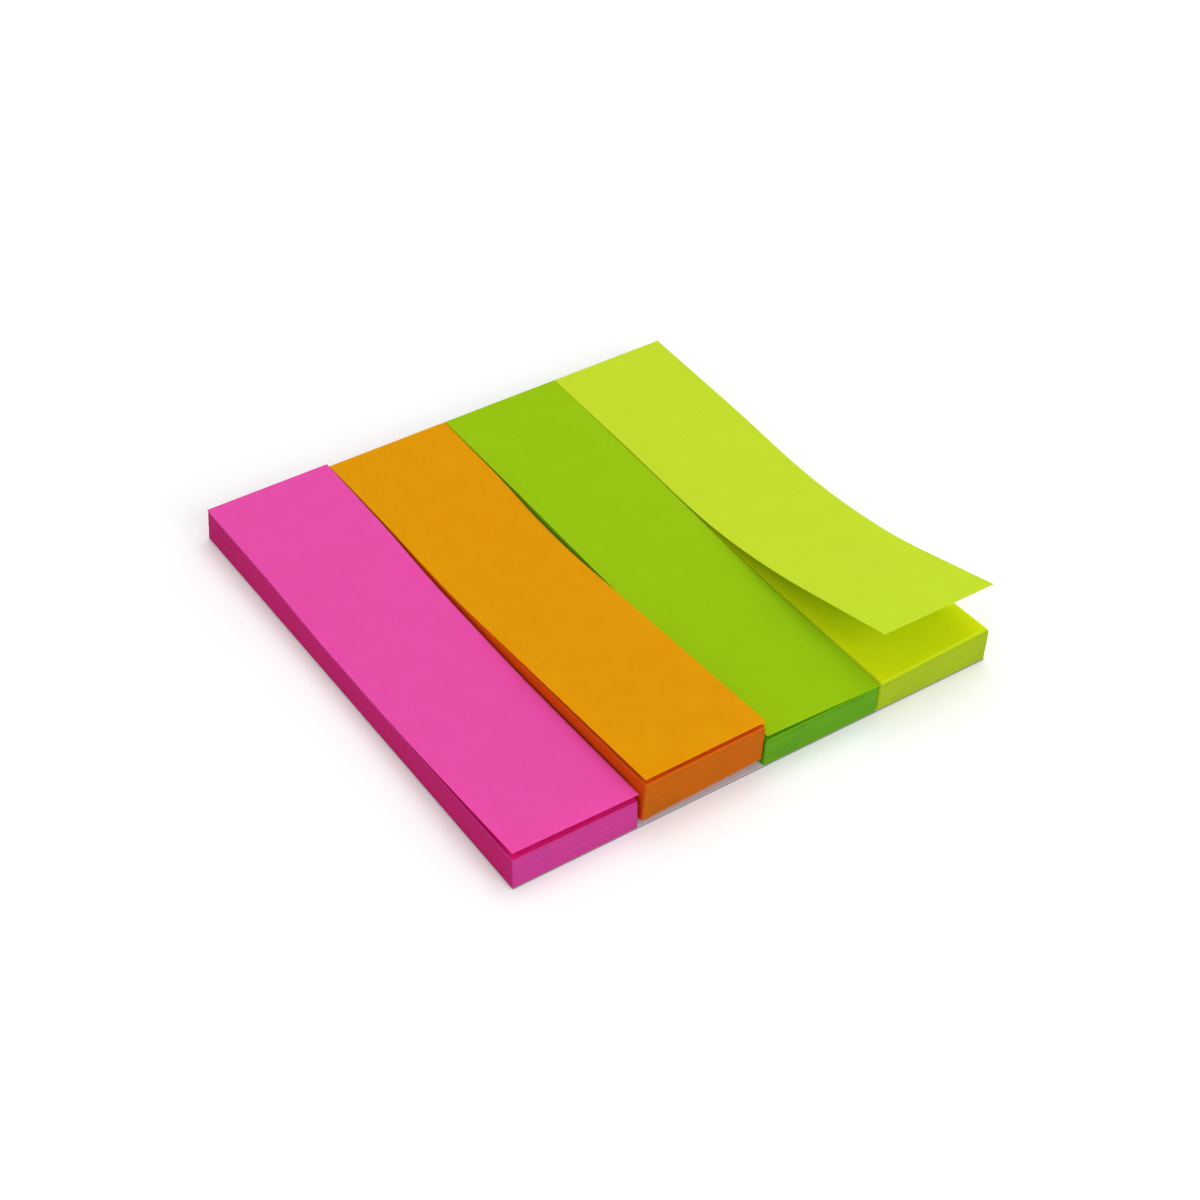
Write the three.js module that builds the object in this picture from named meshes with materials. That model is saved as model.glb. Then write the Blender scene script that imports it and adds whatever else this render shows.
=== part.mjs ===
// Sticky notes: four narrow pads of coloured notes, side by side on one thin backing sheet.
// Lengths are in millimetres. The origin is the middle of the backing sheet's underside, +X runs along
// the row of pads, +Y points to their glued ends and +Z is up.

import * as THREE from 'three';

// One note, and the block of notes under a pad's top sheet
const NOTE_WIDTH = 19;
const NOTE_LENGTH = 76;
const NOTE_THICKNESS = 0.1;
const BLOCK_HEIGHT = 4.7;
const ADHESIVE_STRIP = 12;

// A loose sheet never lies quite flat on the one below it, once it has left the adhesive strip
const LOOSE_CLEARANCE = 0.08;
const LOOSENING_LENGTH = 8;

// The backing sheet is as wide as the row of pads, and reaches a little past their glued ends
const BACKING_THICKNESS = 0.3;
const BACKING_MARGIN = 0.6;

// Steps in which a slab of paper is bent along its length and twisted across its width
const STEPS_ALONG = 38;
const STEPS_ACROSS = 4;

const PAPER_ROUGHNESS = 0.9;
const BACKING_COLOUR = 0xe4e1e6;

// Each pad has its own wear. Heights are given for its left and right side.
//   GAP               free space between this pad and the one to its left
//   LEAN              how far the top of the stack has slid back over its foot
//   SAG, WAIST        how much thinner the pad is than at its glued end, and how far from that end
//   LOOSE_END, BEND   length of the free end that stands up, and how much of it is the bend
//   RISE              height that the block gains at its free end, over its glued end
//   FOOT_RISE         height by which the free end's underside stands off the backing sheet
//   SHEET_RISE        height of the top sheet's free end over the block

// The pink pad has its notes pressed flat
const PINK_LEAN = 0.6;
const PINK_SAG_LEFT = 0.7;
const PINK_SAG_RIGHT = 0.85;
const PINK_WAIST = 32;
const PINK_LOOSE_END = 34;
const PINK_BEND = 20;
const PINK_RISE = -0.2;
const PINK_SHEET_RISE_LEFT = 1;
const PINK_SHEET_RISE_RIGHT = 0.5;

// The orange pad as a whole stands up off the backing at its free end
const ORANGE_GAP = 0.4;
const ORANGE_SAG_LEFT = 0.3;
const ORANGE_SAG_RIGHT = 0.7;
const ORANGE_WAIST = 26;
const ORANGE_LOOSE_END = 48;
const ORANGE_BEND = 12;
const ORANGE_RISE_LEFT = 2.5;
const ORANGE_RISE_RIGHT = 2.8;
const ORANGE_FOOT_RISE_LEFT = 0.6;
const ORANGE_FOOT_RISE_RIGHT = 1.2;
const ORANGE_SHEET_RISE_LEFT = 0.8;
const ORANGE_SHEET_RISE_RIGHT = 0.6;

// The green pad's top sheet has come up at one corner
const GREEN_GAP = 0.5;
const GREEN_SAG_LEFT = 0.2;
const GREEN_SAG_RIGHT = 0.6;
const GREEN_WAIST = 48;
const GREEN_LOOSE_END = 25;
const GREEN_BEND = 14;
const GREEN_RISE = -0.1;
const GREEN_SHEET_RISE_LEFT = 0.7;
const GREEN_SHEET_RISE_RIGHT = 0.05;

// The yellow pad's top sheet curls well up off its block, along a longer bend of its own
const YELLOW_GAP = 0.2;
const YELLOW_SAG_LEFT = 0.6;
const YELLOW_SAG_RIGHT = 0.8;
const YELLOW_WAIST = 48;
const YELLOW_LOOSE_END = 24;
const YELLOW_BEND = 12;
const YELLOW_RISE_RIGHT = 0.9;
const CURL_LENGTH = 47;
const CURL_BEND = 37;
const CURL_RISE_LEFT = 8.5;
const CURL_RISE_RIGHT = 7.1;

// The pads from left to right. Where two values stand together, they are for the left and right side.
const PADS = [
  {
    name: 'pink',
    colour: 0xe84fa6,
    gap: 0,
    lean: PINK_LEAN,
    sag: [PINK_SAG_LEFT, PINK_SAG_RIGHT],
    waist: PINK_WAIST,
    looseEnd: { length: PINK_LOOSE_END, bend: PINK_BEND },
    rise: [PINK_RISE, PINK_RISE],
    footRise: [0, 0],
    sheetEnd: { length: PINK_LOOSE_END, bend: PINK_BEND },
    sheetRise: [PINK_SHEET_RISE_LEFT, PINK_SHEET_RISE_RIGHT],
  },
  {
    name: 'orange',
    colour: 0xdf960b,
    gap: ORANGE_GAP,
    lean: 0,
    sag: [ORANGE_SAG_LEFT, ORANGE_SAG_RIGHT],
    waist: ORANGE_WAIST,
    looseEnd: { length: ORANGE_LOOSE_END, bend: ORANGE_BEND },
    rise: [ORANGE_RISE_LEFT, ORANGE_RISE_RIGHT],
    footRise: [ORANGE_FOOT_RISE_LEFT, ORANGE_FOOT_RISE_RIGHT],
    sheetEnd: { length: ORANGE_LOOSE_END, bend: ORANGE_BEND },
    sheetRise: [ORANGE_SHEET_RISE_LEFT, ORANGE_SHEET_RISE_RIGHT],
  },
  {
    name: 'green',
    colour: 0x96c211,
    gap: GREEN_GAP,
    lean: 0,
    sag: [GREEN_SAG_LEFT, GREEN_SAG_RIGHT],
    waist: GREEN_WAIST,
    looseEnd: { length: GREEN_LOOSE_END, bend: GREEN_BEND },
    rise: [GREEN_RISE, GREEN_RISE],
    footRise: [0, 0],
    sheetEnd: { length: GREEN_LOOSE_END, bend: GREEN_BEND },
    sheetRise: [GREEN_SHEET_RISE_LEFT, GREEN_SHEET_RISE_RIGHT],
  },
  {
    name: 'yellow',
    colour: 0xc6de2d,
    gap: YELLOW_GAP,
    lean: 0,
    sag: [YELLOW_SAG_LEFT, YELLOW_SAG_RIGHT],
    waist: YELLOW_WAIST,
    looseEnd: { length: YELLOW_LOOSE_END, bend: YELLOW_BEND },
    rise: [0, YELLOW_RISE_RIGHT],
    footRise: [0, 0],
    sheetEnd: { length: CURL_LENGTH, bend: CURL_BEND },
    sheetRise: [CURL_RISE_LEFT, CURL_RISE_RIGHT],
  },
];

const { lerp, smoothstep } = THREE.MathUtils;

// Value at a place across the pad, where 0 is its left side and 1 its right side
const between = ([left, right], across) => lerp(left, right, across);

// Height gained along a strip of paper whose slope grows gently from level, as a quarter of a sine
// wave, over the bend and then stays the same
function bendHeight(distance, bend) {
  const bent = THREE.MathUtils.clamp(distance, 0, bend);
  const arc = (2 * bend / Math.PI) * (1 - Math.cos(Math.PI * bent / (2 * bend)));
  return arc + Math.max(0, distance - bend);
}

// The same height as a share of the one at the free end. A bend starts past the adhesive strip.
function standing({ length, bend }, along) {
  const start = Math.max(ADHESIVE_STRIP, NOTE_LENGTH - length);
  const reach = NOTE_LENGTH - start;
  return bendHeight(along - start, bend) / bendHeight(reach, bend);
}

// Heights over the backing sheet, at a place across the pad and a distance along it from its glued end
function blockFoot(pad, across, along) {
  return between(pad.footRise, across) * standing(pad.looseEnd, along);
}

function blockTop(pad, across, along) {
  const sag = between(pad.sag, across);
  const rise = sag + between(pad.rise, across);
  return BLOCK_HEIGHT - sag * smoothstep(along, ADHESIVE_STRIP, pad.waist)
    + rise * standing(pad.looseEnd, along);
}

function sheetUnderside(pad, across, along) {
  const loose = smoothstep(along, ADHESIVE_STRIP, ADHESIVE_STRIP + LOOSENING_LENGTH);
  return blockTop(pad, across, along) + LOOSE_CLEARANCE * loose
    + between(pad.sheetRise, across) * standing(pad.sheetEnd, along);
}

// How far forward each step of a sheet reaches. The sheet keeps its length, so a step that climbs
// reaches less far than one that lies flat.
function reachOfSheet(height) {
  const step = NOTE_LENGTH / STEPS_ALONG;
  const reach = [0];
  for (let i = 1; i <= STEPS_ALONG; i += 1) {
    const climb = height(i * step) - height((i - 1) * step);
    reach.push(reach[i - 1] + Math.sqrt(step * step - climb * climb));
  }
  return reach;
}

// A slab with a note's outline: a divided box of unit size, whose every corner then moves to the place
// that the given function returns for it
function paperSlab(placeCorner) {
  const slab = new THREE.BoxGeometry(1, 1, 1, STEPS_ACROSS, STEPS_ALONG, 1);
  const corners = slab.attributes.position;
  for (let i = 0; i < corners.count; i += 1) {
    const across = corners.getX(i) + 0.5;
    const station = Math.round((0.5 - corners.getY(i)) * STEPS_ALONG);
    const { forward, height } = placeCorner(across, station, corners.getZ(i) > 0);
    corners.setXYZ(i, across * NOTE_WIDTH, -forward, height);
  }
  slab.computeVertexNormals();
  return slab;
}

// The glued block of notes. Its stack may lean: the top slides back over the foot.
function blockGeometry(pad) {
  return paperSlab((across, station, isTop) => {
    const along = station * NOTE_LENGTH / STEPS_ALONG;
    const height = isTop ? blockTop(pad, across, along) : blockFoot(pad, across, along);
    return { forward: along - (isTop ? pad.lean : 0), height };
  });
}

// The top sheet, held by the adhesive strip and standing off the block at its free end
function topSheetGeometry(pad) {
  return paperSlab((across, station, isTop) => {
    const underside = (along) => sheetUnderside(pad, across, along);
    const reach = reachOfSheet(underside)[station];
    const height = underside(station * NOTE_LENGTH / STEPS_ALONG) + (isTop ? NOTE_THICKNESS : 0);
    return { forward: reach - pad.lean, height };
  });
}

function namedMesh(name, geometry, colour) {
  const material = new THREE.MeshStandardMaterial({ color: colour, roughness: PAPER_ROUGHNESS, metalness: 0 });
  const mesh = new THREE.Mesh(geometry, material);
  mesh.name = name;
  return mesh;
}

// A pad in its own group, whose origin is the foot of its left back corner
function makePad(pad) {
  const group = new THREE.Group();
  group.add(namedMesh(`${pad.name}_pad`, blockGeometry(pad), pad.colour));
  group.add(namedMesh(`${pad.name}_top_sheet`, topSheetGeometry(pad), pad.colour));
  return group;
}

// Sizes of the row and of the backing sheet under it
const rowWidth = PADS.reduce((width, pad) => width + pad.gap + NOTE_WIDTH, 0);
const backingLength = NOTE_LENGTH + BACKING_MARGIN;

function makeBacking() {
  const sheet = new THREE.BoxGeometry(rowWidth, backingLength, BACKING_THICKNESS);
  const backing = namedMesh('backing_sheet', sheet, BACKING_COLOUR);
  backing.position.z = BACKING_THICKNESS / 2;
  return backing;
}

// The pads stand in a row on the backing, flush with its front and side edges
const stickyNotes = new THREE.Group();
stickyNotes.add(makeBacking());
let left = -rowWidth / 2;
for (const pad of PADS) {
  const group = makePad(pad);
  left += pad.gap;
  group.position.set(left, backingLength / 2 - BACKING_MARGIN, BACKING_THICKNESS);
  left += NOTE_WIDTH;
  stickyNotes.add(group);
}

export default stickyNotes;
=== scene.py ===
# %% [markdown]
# # Sticky notes in four neon colours
# Four narrow pads stand side by side on one thin card. Each pad is a stack of about fifty notes, held
# together only by the sticky strip at the back, so the free ends at the front loosen, sag and lift.
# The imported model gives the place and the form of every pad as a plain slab. Here each slab becomes
# what it stands for: a stack of single sheets with a cut edge, and a thin top note over it.

import math
import random
from functools import lru_cache

import bmesh
import bpy
import numpy as np
from mathutils import Matrix, Quaternion, Vector


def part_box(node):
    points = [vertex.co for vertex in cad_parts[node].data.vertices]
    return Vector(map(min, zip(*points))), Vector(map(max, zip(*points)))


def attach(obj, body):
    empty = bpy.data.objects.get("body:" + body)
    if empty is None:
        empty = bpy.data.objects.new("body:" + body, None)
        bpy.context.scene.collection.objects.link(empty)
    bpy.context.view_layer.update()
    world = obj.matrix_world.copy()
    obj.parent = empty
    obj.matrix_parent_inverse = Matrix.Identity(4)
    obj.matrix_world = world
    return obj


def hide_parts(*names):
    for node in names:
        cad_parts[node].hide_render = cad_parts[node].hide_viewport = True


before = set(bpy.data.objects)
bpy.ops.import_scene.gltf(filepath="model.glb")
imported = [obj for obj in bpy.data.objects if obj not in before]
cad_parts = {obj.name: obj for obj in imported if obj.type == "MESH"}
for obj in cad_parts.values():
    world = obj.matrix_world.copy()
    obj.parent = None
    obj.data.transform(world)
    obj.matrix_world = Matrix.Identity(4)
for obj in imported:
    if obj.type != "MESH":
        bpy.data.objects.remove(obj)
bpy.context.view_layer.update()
MM = 0.001
print("nodes:", ", ".join(sorted(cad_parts)))

# %% [markdown]
# ## Camera
# The photograph looks down on the pads from the front left corner, from about a third of a metre, with
# a lens of medium length. The camera is placed by its direction and distance from a point on the desk,
# and then turned a little about its own axis, as a hand-held camera is.

# %% Camera
VIEW_AZIMUTH, VIEW_ELEVATION, VIEW_ROLL = (math.radians(a) for a in (-38.24, 42.48, 4.51))
VIEW_DISTANCE = 352.8 * MM
VIEW_TARGET = Vector((0.77, -1.0, 0)) * MM

camera = bpy.data.objects.new("camera", bpy.data.cameras.new("camera"))
bpy.context.scene.collection.objects.link(camera)
bpy.context.scene.camera = camera
camera.data.sensor_width = 36
camera.data.lens = 76.73
camera.data.clip_start, camera.data.clip_end = 0.01, 20
away = Vector((
    math.sin(VIEW_AZIMUTH) * math.cos(VIEW_ELEVATION),
    -math.cos(VIEW_AZIMUTH) * math.cos(VIEW_ELEVATION),
    math.sin(VIEW_ELEVATION),
))
camera.location = VIEW_TARGET + away * VIEW_DISTANCE
camera.rotation_mode = "QUATERNION"
camera.rotation_quaternion = away.to_track_quat("Z", "Y") @ Quaternion((0, 0, 1), VIEW_ROLL)
print("camera at", [round(c / MM) for c in camera.location], "mm")

# %% [markdown]
# ## Reading a slab
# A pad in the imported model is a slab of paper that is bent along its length. Its upper and lower faces
# hold rows of points. Read as a table of columns (across) and stations (along), they say where any
# point of any sheet in the stack goes. One more station is added past each end, for the curve below.

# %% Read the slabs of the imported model
NOTE_WIDTH, NOTE_LENGTH = 19, 76


def read_face(node, upward):
    """Columns (x) and the stations (y, z) of each column, on the upper or the lower face of a slab."""
    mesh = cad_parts[node].data
    facing = 1 if upward else -1
    points = {
        tuple(round(c, 6) for c in mesh.vertices[i].co)
        for face in mesh.polygons
        if face.normal.z * facing > 0.3
        for i in face.vertices
    }
    columns = sorted({x for x, _, _ in points})
    rows = [sorted(((y, z) for x, y, z in points if x == column), reverse=True) for column in columns]
    table = np.array(rows)
    first = 2 * table[:, :1] - table[:, 1:2]
    last = 2 * table[:, -1:] - table[:, -2:-1]
    return np.array(columns), np.concatenate([first, table, last], axis=1)


SLABS = {
    (node, upward): read_face(node, upward)
    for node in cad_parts
    if node != "backing_sheet"
    for upward in (True, False)
}
print("slabs read, stations along each:", SLABS["pink_pad", True][1].shape[1] - 2)

# %% [markdown]
# ## A point on a slab
# Paper bends in a smooth curve, and the slab has small facets. A Catmull-Rom curve passes through every
# station and takes the facets out. Across the pad the paper is nearly straight, so there a straight
# line between two columns will do.

# %% A point on a slab
@lru_cache(maxsize=None)
def slab_point(node, upward, across, along):
    """Point on a slab's upper or lower face. Across and along run from 0 to 1, along from the glued end."""
    columns, table = SLABS[node, upward]
    place = along * (table.shape[1] - 3)
    i = min(int(place), table.shape[1] - 4)
    f = place - i
    a, b, c, d = (table[:, i + k] for k in range(4))
    smooth = b + 0.5 * f * (c - a + f * (2 * a - 5 * b + 4 * c - d + f * (3 * (b - c) + d - a)))
    share = across * (len(columns) - 1)
    j = min(max(int(share), 0), len(columns) - 2)
    y, z = smooth[j] + (smooth[j + 1] - smooth[j]) * (share - j)
    return Vector((columns[0] + (columns[-1] - columns[0]) * across, y, z))


tip = slab_point("yellow_top_sheet", True, 0.0, 1.0)
print("left tip of the curled note, mm:", [round(c / MM, 2) for c in tip])

# %% [markdown]
# ## Sheets that have slid
# The cut side of a real pad is never one flat face: each sheet has slid a few hundredths of a
# millimetre over the one below. The slips drift slowly through the stack, since a hand pushes many
# sheets at once, and each sheet adds a little of its own.

# %% Sheets that have slid
def slips(sheets, amount, seed):
    """How far each sheet of a stack has slid sideways and along, in mm."""
    dice = random.Random(seed)
    drift, found = [0.0, 0.0], []
    for _ in range(sheets):
        drift = [0.85 * d + dice.uniform(-0.6, 0.6) * amount for d in drift]
        found.append([d + dice.uniform(-0.5, 0.5) * amount for d in drift])
    return found


print("first slips of a stack, mm:", [[round(s, 3) for s in pair] for pair in slips(3, 0.015, 3)])

# %% [markdown]
# ## A stack of sheets
# Lines drawn on one flat face would vanish along the outline, so the stack is grown in geometry: one
# note's outline is extruded sheet by sheet, with a ledge of no height between two sheets that opens
# when they slide apart. Every point remembers its sheet's number, and every face whether it belongs
# to a long side of the pad, because the long sides get a colour of their own: painted light and
# shade for the way these sides are lit.

# %% Grow a stack of sheets
def grown_sheets(sheets, rows, columns, corner):
    """A note's outline, extruded by 1 for each sheet. Returns the mesh and its upper faces.

    Extruding keeps the faces that it starts from, so every step leaves a level wall right across the
    stack, which a solid body wouldn't have. The order of the stored faces differs from run to run.
    """
    bm = bmesh.new()
    number = bm.verts.layers.float.new("sheet")
    bm.faces.layers.float.new("long_side_painted_light")
    outline = Matrix.Diagonal((NOTE_WIDTH, NOTE_LENGTH, 1, 1))
    bmesh.ops.create_grid(bm, x_segments=columns, y_segments=rows, size=0.5, matrix=outline)
    if corner:
        ends = [v for v in bm.verts if len(v.link_edges) == 2]
        bmesh.ops.bevel(
            bm, geom=ends, affect="VERTICES", offset=corner, segments=2, profile=0.5, material=-1
        )
    top = bm.faces[:]
    for sheet in range(sheets):
        for step in (0, 1) if sheet else (1,):
            grown = bmesh.ops.extrude_face_region(bm, geom=top)["geom"]
            top = [g for g in grown if isinstance(g, bmesh.types.BMFace)]
            lifted = [g for g in grown if isinstance(g, bmesh.types.BMVert)]
            for v in lifted:
                v[number] = sheet
            bmesh.ops.translate(bm, verts=lifted, vec=(0, 0, step))
    bmesh.ops.recalc_face_normals(bm, faces=bm.faces)
    return bm, top


def sort_faces(bm, top):
    """The uppermost and the lowest faces are paper (material 0), all others are cut edge (material 1)."""
    long_side_painted_light = bm.faces.layers.float["long_side_painted_light"]
    for face in bm.faces:
        lowest = all(v.co.z == 0 for v in face.verts)
        face.material_index = 0 if lowest else 1
        face.smooth = lowest
        # Long-side faces are marked for the painted light and shade in their colour
        face[long_side_painted_light] = 1.0 if abs(face.normal.x) > 0.7 else 0.0
    for face in top:
        face.material_index, face.smooth = 0, True
    for edge in bm.edges:
        edge.smooth = len({face.material_index for face in edge.link_faces}) == 1


sample, sample_top = grown_sheets(3, 4, 2, 0.0)
print("three sheets of 4 by 2 faces:", len(sample.faces), "faces,", len(sample_top), "on top")
sample.free()

# %% [markdown]
# ## Use and wear
# A used pad differs from its slab by tenths of a millimetre, and the photograph shows them:
# the stack leans to one side, the glued end is swollen and touches the next pad, the heel of the pink
# pad stands upright, the orange pad's foot stands a little higher, the uppermost sheets of a block are
# rubbed round at the free end, and the slot under a top note gapes more at one corner.
# These tenths are laid over the slab's form here. Each pad's own values stand in its table below.

# %% Bend a stack to its slab
CARD_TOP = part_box("backing_sheet")[1].z
FOOT_LIFT = 1.4  # a lifted foot stands this many times higher over the card than in the slab
SWOLLEN_PART = 0.45  # share of the length over which the glued end's swelling dies away
HEEL_PART = 0.4  # share of the length that moves back with the heel
RUBBED_SHEETS = 6  # sheets under the uppermost one that are rubbed round with it


def fading(along, reach):
    """1 at the glued end, falling smoothly to 0 at the given share of the length."""
    return max(0.0, 1 - along / reach) ** 2


def bend_to_slab(bm, node, sheets, pad, rise, slid):
    """Moves every point of a grown stack to its place in the slab, with the pad's use and wear in mm."""
    number = bm.verts.layers.float["sheet"]
    for v in bm.verts:
        sheet, level = int(v[number]), v.co.z / sheets
        rubbed = max(0.0, sheet - (sheets - 1 - RUBBED_SHEETS)) / RUBBED_SHEETS if sheets > 1 else 0.0
        ease = pad["worn"] * (rubbed * (0.5 - v.co.y / NOTE_LENGTH)) ** 2
        x = v.co.x * (1 - ease / NOTE_WIDTH * 2)
        y = v.co.y * (1 - ease / NOTE_LENGTH * 2)
        across = min(max(round(x / NOTE_WIDTH + 0.5, 6), 0.0), 1.0)
        along = min(max(round(0.5 - y / NOTE_LENGTH, 6), 0.0), 1.0)
        low = slab_point(node, False, across, along).copy()
        high = slab_point(node, True, across, along)
        # A top note moves as the top of its stack does, so its whole thickness counts as full height
        height = level if sheets > 1 else 1.0
        if sheets > 1:
            low.z = CARD_TOP + (low.z - CARD_TOP) * FOOT_LIFT
        aside = pad["lean"][0] * (1 - height) + pad["lean"][1] * height
        swelling = pad["swell"][1] * across - pad["swell"][0] * (1 - across)
        aside += swelling * fading(along, SWOLLEN_PART)
        back = pad["heel"] * (1 - height) * fading(along, HEEL_PART)
        up = (rise[0] * (1 - across) + rise[1] * across) * along**6 * height
        wear = Vector((slid[sheet][0] + aside, slid[sheet][1] + back, up))
        v.co = low.lerp(high, level) + wear * MM


def as_object(name, bm):
    """Turns a finished bmesh into an object of the scene."""
    mesh = bpy.data.meshes.new(name)
    bm.to_mesh(mesh)
    bm.free()
    made = bpy.data.objects.new(name, mesh)
    bpy.context.scene.collection.objects.link(made)
    return made


def stack_of_sheets(name, node, sheets, rows, columns, pad, rise, slip=0.0, corner=0.0, seed=0):
    """Sheets of paper, one on another, in the place of a packed slab. Sizes are in mm."""
    bm, top = grown_sheets(sheets, rows, columns, corner)
    sort_faces(bm, top)
    bend_to_slab(bm, node, sheets, pad, rise, slips(sheets, slip, seed))
    piece = as_object(name, bm)
    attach(piece, "root")
    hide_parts(node)
    return piece


print("swelling left a quarter of the way along:", round(fading(0.25, SWOLLEN_PART), 2))

# %% [markdown]
# ## Colours and nodes
# Colours are noted the way a colour picker shows them, as sRGB hex values. Shaders calculate in linear
# light, so one function turns them. A second one adds a shader node with its settings and links.
# A Mix node names its sockets by number: 0 is the factor, 6 and 7 are the two colours and output 2 the
# mixed colour. Where it mixes plain values, they are 2 and 3, and output 0.

# %% Helpers for materials
def linear(hex_colour):
    """An sRGB hex colour as linear red, green, blue and alpha."""
    parts = [int(hex_colour[i : i + 2], 16) / 255 for i in (1, 3, 5)]
    return [c / 12.92 if c <= 0.04045 else ((c + 0.055) / 1.055) ** 2.4 for c in parts] + [1.0]


def add(tree, kind, sockets=(), **settings):
    """Adds a node. Each socket gets a value, or a link from another node's output."""
    made = tree.nodes.new("ShaderNode" + kind)
    for name, value in settings.items():
        setattr(made, name, value)
    for socket, value in dict(sockets).items():
        if isinstance(value, bpy.types.NodeSocket):
            tree.links.new(value, made.inputs[socket])
        else:
            made.inputs[socket].default_value = value
    return made


def new_material(name):
    """An empty material with its output node."""
    material = bpy.data.materials.new(name)
    material.use_nodes = True
    material.node_tree.nodes.clear()
    return material, material.node_tree, add(material.node_tree, "OutputMaterial")


def per(size_mm):
    """Scale of a pattern whose features are about this many millimetres apart."""
    return 1 / (size_mm * MM)


print("neon pink in linear light:", [round(c, 3) for c in linear("#E84BA2")])

# %% [markdown]
# ## Dyed paper
# A note is thin uncoated wood-free paper, dyed in the pulp with a fluorescent dye. It has no gloss at
# all. Held to the light it shows clouds some millimetres wide, where fibres lie closer together, and
# fibres about a millimetre long and 0.02 mm thick. The fibres are too fine to show here, so they are
# drawn about 0.3 mm apart. A speck of dark fibre, a tenth of a millimetre wide, turns up here and there.
# The sheet is a tenth of a millimetre thick and not quite opaque. Subsurface scattering with a very
# short reach lets light from behind through a lifted note.

# %% Dyed paper
RGBA = {"data_type": "RGBA"}


def dyed_paper(name, colour, pale, deep):
    """Face of a note. Pale and deep are the colour where fibres lie thinner and closer."""
    material, tree, output = new_material(name)
    place = add(tree, "TexCoord").outputs["Object"]
    clouds = add(tree, "TexNoise", {"Vector": place, "Scale": per(3.5), "Detail": 3.0, "Roughness": 0.6})
    cloudy = add(
        tree, "MapRange", {"Value": clouds.outputs["Fac"], "From Min": 0.35, "From Max": 0.65}
    )
    formed = add(tree, "Mix", {0: cloudy.outputs["Result"], 6: linear(deep), 7: linear(pale)}, **RGBA)
    fibres = add(tree, "TexNoise", {"Vector": place, "Scale": per(0.3), "Detail": 2.0, "Roughness": 0.7})
    fibrous = add(
        tree,
        "MapRange",
        {"Value": fibres.outputs["Fac"], "From Min": 0.3, "From Max": 0.7, "To Min": 0.0, "To Max": 0.3},
    )
    blended = add(
        tree, "Mix", {0: fibrous.outputs["Result"], 6: formed.outputs[2], 7: linear(colour)}, **RGBA
    )

    # Specks: one cell in five, each about 7 mm wide, has a dark fibre near its middle
    cells = {"Vector": place, "Scale": per(7), "Randomness": 1.0}
    grains = add(tree, "TexVoronoi", cells, voronoi_dimensions="2D")
    chosen = add(tree, "SeparateColor", {"Color": grains.outputs["Color"]})
    rare = add(tree, "Math", {0: chosen.outputs[0], 1: 0.8}, operation="GREATER_THAN")
    near = add(
        tree,
        "MapRange",
        {"Value": grains.outputs["Distance"], "From Min": 0.018, "From Max": 0.01, "To Max": 0.5},
    )
    speck = add(tree, "Math", {0: rare.outputs[0], 1: near.outputs["Result"]}, operation="MULTIPLY")
    dark = add(tree, "Mix", {0: speck.outputs[0], 6: blended.outputs[2], 7: linear("#4A4438")}, **RGBA)

    matt = add(tree, "MapRange", {"Value": fibres.outputs["Fac"], "To Min": 0.86, "To Max": 0.98})
    height = add(tree, "Math", {0: fibres.outputs["Fac"], 1: clouds.outputs["Fac"]}, operation="ADD")
    relief = add(tree, "Bump", {"Height": height.outputs[0], "Strength": 0.25, "Distance": 0.012 * MM})
    paper = add(
        tree,
        "BsdfPrincipled",
        {
            "Base Color": dark.outputs[2],
            "Roughness": matt.outputs["Result"],
            "Normal": relief.outputs["Normal"],
            "Specular IOR Level": 0.04,
            "Subsurface Weight": 1.0,
            "Subsurface Radius": (1.0, 1.0, 1.0),
            "Subsurface Scale": 0.15 * MM,
        },
    )
    tree.links.new(paper.outputs["BSDF"], output.inputs["Surface"])
    print(name, "has", len(tree.nodes), "nodes")
    return material


# %% [markdown]
# ## Cut edges
# The guillotine leaves the stack's sides looking like very fine lines, one for each sheet. Light sinks
# in between the sheets and comes back deeper and redder or greener than from a face. A tenth of a
# millimetre is too fine to show, so besides a tone for each sheet the lines are gathered into bands of
# about half a millimetre that run along the stack. They follow the sheet numbers stored on the mesh,
# so they bend with the pad. The short ends have soft dull patches where a finger has rubbed them. The
# long sides get a colour of their own, painted light and shade for the way these sides are lit, and
# the last sheets under the top note turn lighter, a painted highlight where they form a lip.

# %% Cut edges
# Sheets at the top of a block that take the painted highlight
LIP_SHEETS = 5


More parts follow.
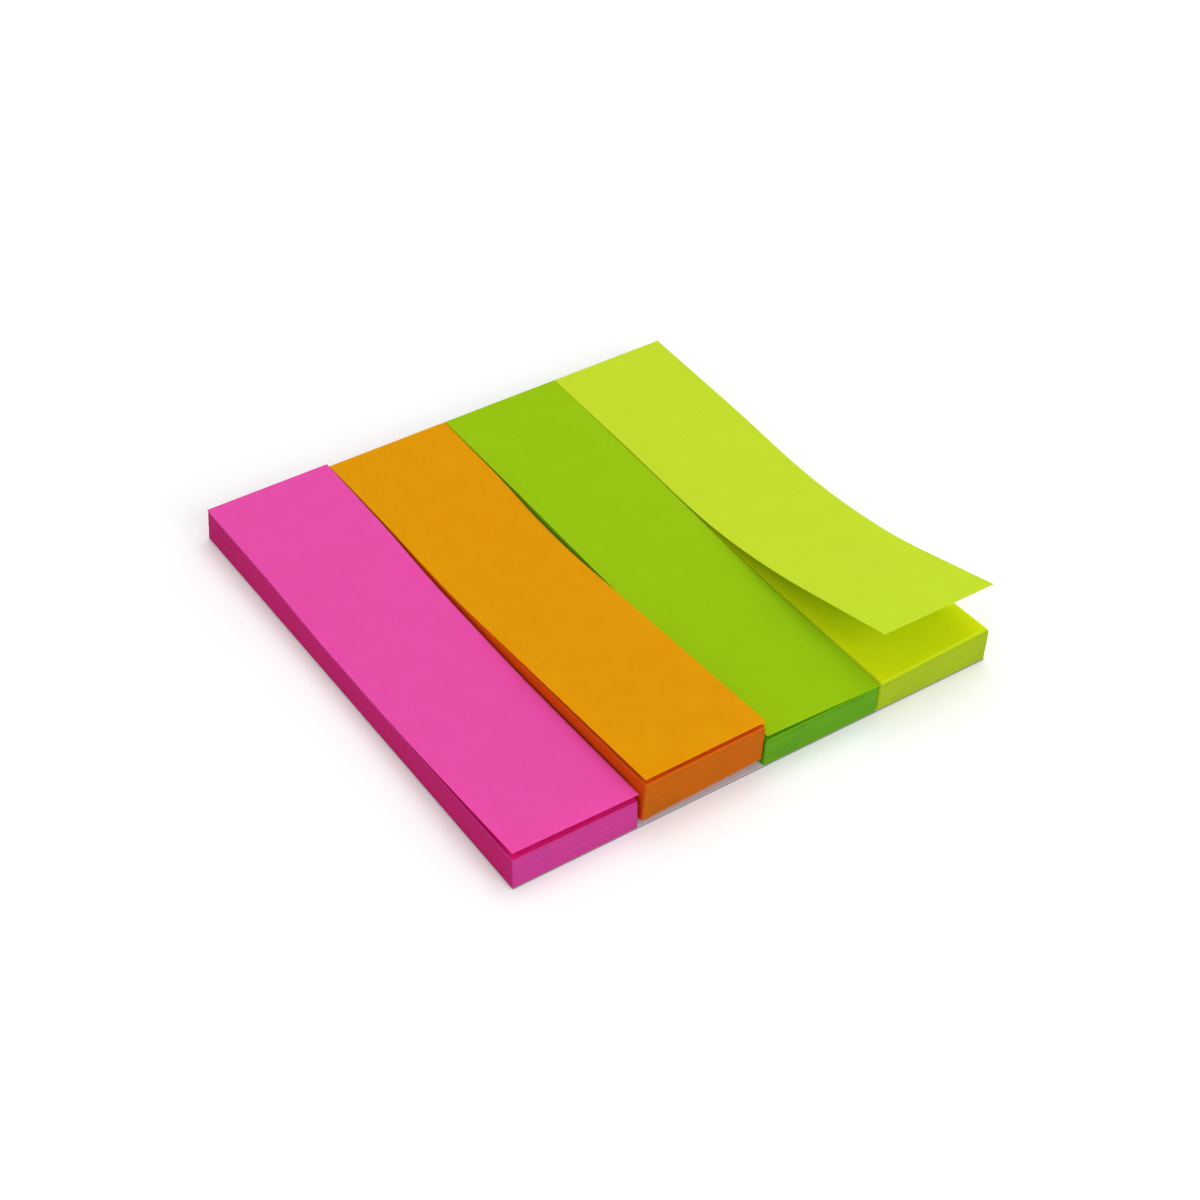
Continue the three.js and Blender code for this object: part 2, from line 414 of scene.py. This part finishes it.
def cut_edge(name, end, dull, long_side_painted_light, lip_highlight, sheets):
    """Cut side of a stack: colours of the short ends, their patches, the long sides (painted shade and
    light) and the lip (a painted highlight).
    """
    material, tree, output = new_material(name)
    place = add(tree, "TexCoord").outputs["Object"]
    number = add(tree, "Attribute", attribute_name="sheet", attribute_type="GEOMETRY").outputs["Fac"]

    # Lines: noise drawn long along the stack and short from sheet to sheet, and each sheet's own tone
    own = add(tree, "TexWhiteNoise", {"W": number}, noise_dimensions="1D")
    where = add(tree, "SeparateXYZ", {0: place})
    run_x = add(tree, "Math", {0: where.outputs[0], 1: per(14)}, operation="MULTIPLY")
    run_y = add(tree, "Math", {0: where.outputs[1], 1: per(14)}, operation="MULTIPLY")
    level = add(tree, "Math", {0: number, 1: 0.2}, operation="MULTIPLY")
    laid = add(tree, "CombineXYZ", {0: run_x.outputs[0], 1: run_y.outputs[0], 2: level.outputs[0]})
    along = {"Vector": laid.outputs[0], "Scale": 1.0, "Detail": 4.0, "Roughness": 0.7}
    bands = add(tree, "TexNoise", along)
    lines = add(tree, "Mix", {0: 0.35, 2: bands.outputs["Fac"], 3: own.outputs["Value"]})

    patches = add(tree, "TexNoise", {"Vector": place, "Scale": per(5), "Detail": 2.0})
    patchy = add(
        tree,
        "MapRange",
        {"Value": patches.outputs["Fac"], "From Min": 0.45, "From Max": 0.7, "To Max": 0.7},
    )
    mottled = add(tree, "Mix", {0: patchy.outputs["Result"], 6: linear(end), 7: linear(dull)}, **RGBA)
    # Long sides get their own colour: painted light and shade for the way these sides are lit
    turned = add(tree, "Attribute", attribute_name="long_side_painted_light", attribute_type="GEOMETRY")
    cut = add(
        tree, "Mix", {0: turned.outputs["Fac"], 6: mottled.outputs[2], 7: linear(long_side_painted_light)}, **RGBA
    )
    shade = add(tree, "MapRange", {"Value": lines.outputs[0], "To Min": 0.93, "To Max": 1.06})
    darkened = {0: 1.0, 6: cut.outputs[2], 7: shade.outputs["Result"]}
    lined = add(tree, "Mix", darkened, blend_type="MULTIPLY", **RGBA)
    # The uppermost sheets fade to a lighter colour: a painted highlight along the top of the cut edge
    highest = {"Value": number, "From Min": sheets - LIP_SHEETS, "From Max": sheets - 1}
    high = add(tree, "MapRange", highest)
    tone = add(tree, "Mix", {0: high.outputs["Result"], 6: lined.outputs[2], 7: linear(lip_highlight)}, **RGBA)

    relief = add(tree, "Bump", {"Height": lines.outputs[0], "Strength": 0.3, "Distance": 0.03 * MM})
    rough = add(tree, "MapRange", {"Value": bands.outputs["Fac"], "To Min": 0.84, "To Max": 0.98})
    edge = add(
        tree,
        "BsdfPrincipled",
        {
            "Base Color": tone.outputs[2],
            "Roughness": rough.outputs["Result"],
            "Normal": relief.outputs["Normal"],
            "Specular IOR Level": 0.08,
        },
    )
    tree.links.new(edge.outputs["BSDF"], output.inputs["Surface"])
    print(name, "has", len(tree.nodes), "nodes")
    return material


# %% [markdown]
# ## The four pads
# A block has 47 notes of a tenth of a millimetre, its top note is the next one. Each pad has its own
# dye, and its own seed, so that no two stacks have slid alike. The sheets under the top note get a
# lighter and deeper colour than the top note: painted light, which makes up for the light that
# reaches the shaded slots under the top notes.
# Left and right values stand together, and all lengths are in mm:
# - paper: the top note's colour, and where its fibres lie thinner and closer
# - inner_painted_light: the same for the sheets under the top note, lighter and deeper as painted light
# - edge: the cut side's short ends, their dull patches, the long sides (painted light and shade), and the
#   lip (a painted highlight)
# - lean: how far to the right the foot and the top of the stack stand
# - swell: how much wider the glued end is to the left and to the right
# - heel: how far back the foot stands at the glued end
# - worn: how far the uppermost sheets are rubbed away at the free end
# - rise: how much higher the block's free end stands than in its slab, and the top note's in its own

# %% Pads
BLOCK_SHEETS = 47
PADS = {
    "pink": {
        "paper": ("#F052AD", "#F153AE", "#EE50AB"),
        "inner_painted_light": ("#EE2289", "#F0268D", "#EA1E85"),
        "edge": ("#D6449C", "#C44298", "#DA2B7C", "#DC489C"),
        "lean": (-0.15, 0.0),
        "swell": (0.0, 0.18),
        "heel": 0.45,
        "worn": 0.08,
        "rise": ((-0.12, -0.33), (0.08, 0.25)),
    },
    "orange": {
        "paper": ("#E69B04", "#E79D06", "#E49803"),
        "inner_painted_light": ("#EC620A", "#EE660C", "#E85C08"),
        "edge": ("#D16B10", "#BE681A", "#EC560C", "#E67A18"),
        "lean": (0.0, 0.05),
        "swell": (0.2, 0.13),
        "heel": 0.0,
        "worn": 0.15,
        "rise": ((0.0, 0.0), (0.0, 0.0)),
    },
    "green": {
        "paper": ("#9AC60E", "#9BC70F", "#98C40D"),
        "inner_painted_light": ("#62AE0C", "#66B20E", "#5EAA0A"),
        "edge": ("#6AAE22", "#62A428", "#6CC018", "#7FC41C"),
        "lean": (0.0, -0.1),
        "swell": (0.13, 0.06),
        "heel": 0.0,
        "worn": 0.15,
        "rise": ((-0.1, 0.0), (0.1, 0.0)),
    },
    "yellow": {
        "paper": ("#C6DF2D", "#C7E02E", "#C5DD2C"),
        "inner_painted_light": ("#E6FC0E", "#E8FD10", "#E3FA0C"),
        "edge": ("#B4CC28", "#ABC02E", "#D8EC20", "#E2F428"),
        "lean": (0.0, -0.12),
        "swell": (0.06, 0.0),
        "heel": 0.0,
        "worn": 0.35,
        "rise": ((0.0, 0.0), (-0.3, 0.0)),
    },
}

for seed, (colour, pad) in enumerate(PADS.items(), start=3):
    face = dyed_paper(f"{colour} dyed wood-free paper", *pad["paper"])
    # The block's paper is lighter and deeper than the top note's: painted light for the shaded slots
    inner_painted_light = dyed_paper(f"{colour} block paper with painted light", *pad["inner_painted_light"])
    edge = cut_edge(f"{colour} guillotined stack edge", *pad["edge"], BLOCK_SHEETS)
    rim = cut_edge(f"{colour} edge of one note", *[pad["paper"][1]] * 4, 1)
    block = stack_of_sheets(
        f"{colour}_note_block", f"{colour}_pad", BLOCK_SHEETS, 76, 6, pad, pad["rise"][0],
        slip=0.015, corner=0.25, seed=seed,
    )
    note = stack_of_sheets(
        f"{colour}_top_note", f"{colour}_top_sheet", 1, 114, 12, pad, pad["rise"][1]
    )
    for piece, materials in ((block, (inner_painted_light, edge)), (note, (face, rim))):
        for material in materials:
            piece.data.materials.append(material)
    print(colour, "block faces:", len(block.data.polygons), "top note faces:", len(note.data.polygons))

# %% [markdown]
# ## The backing card
# The pads are stuck to one thin, smooth white card with a lilac cast. It shows as a pale strip under
# the orange pad's lifted end. Its cut edge is given a greyer and browner colour than its coated face, so
# the card gets two materials, sorted by the way a face looks. Its edges are rounded by a few hundredths.

# %% Backing card
def coated_card(name, colour, deep, rough):
    """Face or edge of the card, with a fine grain about half a millimetre wide."""
    material, tree, output = new_material(name)
    place = add(tree, "TexCoord").outputs["Object"]
    grain = add(tree, "TexNoise", {"Vector": place, "Scale": per(0.5), "Detail": 4.0, "Roughness": 0.65})
    tone = add(tree, "Mix", {0: grain.outputs["Fac"], 6: linear(deep), 7: linear(colour)}, **RGBA)
    spread = {"Value": grain.outputs["Fac"], "To Min": rough - 0.06, "To Max": rough + 0.06}
    matt = add(tree, "MapRange", spread)
    raised = {"Height": grain.outputs["Fac"], "Strength": 0.2, "Distance": 0.01 * MM}
    relief = add(tree, "Bump", raised)
    card = add(
        tree,
        "BsdfPrincipled",
        {
            "Base Color": tone.outputs[2],
            "Roughness": matt.outputs["Result"],
            "Normal": relief.outputs["Normal"],
        },
    )
    tree.links.new(card.outputs["BSDF"], output.inputs["Surface"])
    return material


low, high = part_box("backing_sheet")
bm = bmesh.new()
box = Matrix.Translation((low + high) / 2) @ Matrix.Diagonal((*(high - low), 1))
bmesh.ops.create_cube(bm, size=1.0, matrix=box)
bmesh.ops.bevel(
    bm, geom=bm.edges[:], affect="EDGES", offset=0.06 * MM, segments=2, profile=0.5, material=-1
)
for face in bm.faces:
    face.material_index = 0 if abs(face.normal.z) > 0.5 else 1
card = as_object("backing_card", bm)
card.data.materials.append(coated_card("coated face of thin board", "#E6E2E9", "#DDD8E0", 0.5))
card.data.materials.append(coated_card("cut edge of thin board", "#A59C9A", "#8E8583", 0.85))
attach(card, "root")
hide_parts("backing_sheet")
print("card:", [round(c / MM, 2) for c in high - low], "mm")

# %% [markdown]
# ## Floor
# The picture is a plain studio shot on white. The floor looks white to the camera and keeps a soft
# shadow of the pads. Rays that only carry light meet a greyer floor, so that the undersides aren't lit
# too brightly. Far from the pads the lamps fade, so there the floor glows a little more to stay white.

# %% Floor
FLOOR_HALF_SIZE = 1.5

bm = bmesh.new()
bmesh.ops.create_grid(bm, x_segments=1, y_segments=1, size=FLOOR_HALF_SIZE)
bmesh.ops.translate(bm, verts=bm.verts, vec=(0, 0, -0.02 * MM))
floor = as_object("floor", bm)
material, tree, output = new_material("white paper sweep")
rays = add(tree, "LightPath")
either = {0: rays.outputs["Is Camera Ray"], 1: rays.outputs["Is Glossy Ray"]}
seen = add(tree, "Math", either, operation="MAXIMUM")
white = add(tree, "Mix", {0: seen.outputs[0], 6: linear("#DADADA"), 7: linear("#FDFDFD")}, **RGBA)
matt = add(tree, "BsdfDiffuse", {"Color": white.outputs[2]})
reach = add(tree, "VectorMath", {0: add(tree, "TexCoord").outputs["Object"]}, operation="LENGTH")
distant = {"Value": reach.outputs["Value"], "From Min": 0.1, "From Max": 0.5, "To Min": 0.1, "To Max": 0.42}
glow = add(tree, "MapRange", distant)
lift = add(tree, "Emission", {"Strength": glow.outputs["Result"]})
clear = add(tree, "AddShader", {0: matt.outputs[0], 1: lift.outputs[0]})
surface = add(tree, "MixShader", {0: seen.outputs[0], 1: matt.outputs[0], 2: clear.outputs[0]})
tree.links.new(surface.outputs[0], output.inputs["Surface"])
floor.data.materials.append(material)
print("floor:", 2 * FLOOR_HALF_SIZE, "m wide")

# %% [markdown]
# ## Light and background
# Lamps and world together light the top of the pads so that a colour comes out about as it is written.
# The photograph's light is very even, as in a light tent, so most of it comes from the pale world. One
# large soft lamp stands above and a little behind on the right, so the left sides are in shade, and a
# weak low one in front lifts the front ends and reaches in under the curled note.
# The world is white where the camera sees it, and dimmer for the rays that only carry light.

# %% World and lamps
world = bpy.data.worlds.new("studio")
bpy.context.scene.world = world
world.use_nodes = True
world.node_tree.nodes.clear()
tree = world.node_tree
rays = add(tree, "LightPath")
either = {0: rays.outputs["Is Camera Ray"], 1: rays.outputs["Is Glossy Ray"]}
direct = add(tree, "Math", either, operation="MAXIMUM")
through = add(
    tree, "Math", {0: direct.outputs[0], 1: rays.outputs["Is Transmission Ray"]}, operation="MAXIMUM"
)
strength = add(tree, "MapRange", {"Value": through.outputs[0], "To Min": 0.6, "To Max": 1.0})
sky = add(tree, "Background", {"Color": (1, 1, 1, 1), "Strength": strength.outputs["Result"]})
add(tree, "OutputWorld", {"Surface": sky.outputs[0]})


def softbox(name, place_mm, side_mm, share):
    """A square lamp aimed at the pads. Share is what it adds to a level white sheet, 1 being white."""
    lamp = bpy.data.lights.new(name, "AREA")
    lamp.size = side_mm * MM
    stand = bpy.data.objects.new(name, lamp)
    bpy.context.scene.collection.objects.link(stand)
    stand.location = Vector(place_mm) * MM
    stand.rotation_mode = "QUATERNION"
    stand.rotation_quaternion = stand.location.to_track_quat("Z", "Y")
    slant = stand.location.z / stand.location.length
    lamp.energy = share * math.pi**2 * stand.location.length**2 / slant
    print(name, "gives", round(lamp.energy, 2), "W")


softbox("softbox behind on the right", (150, 150, 600), 400, 0.25)
softbox("softbox in front", (60, -480, 330), 320, 0.16)

bpy.context.scene.view_settings.view_transform = "Standard"
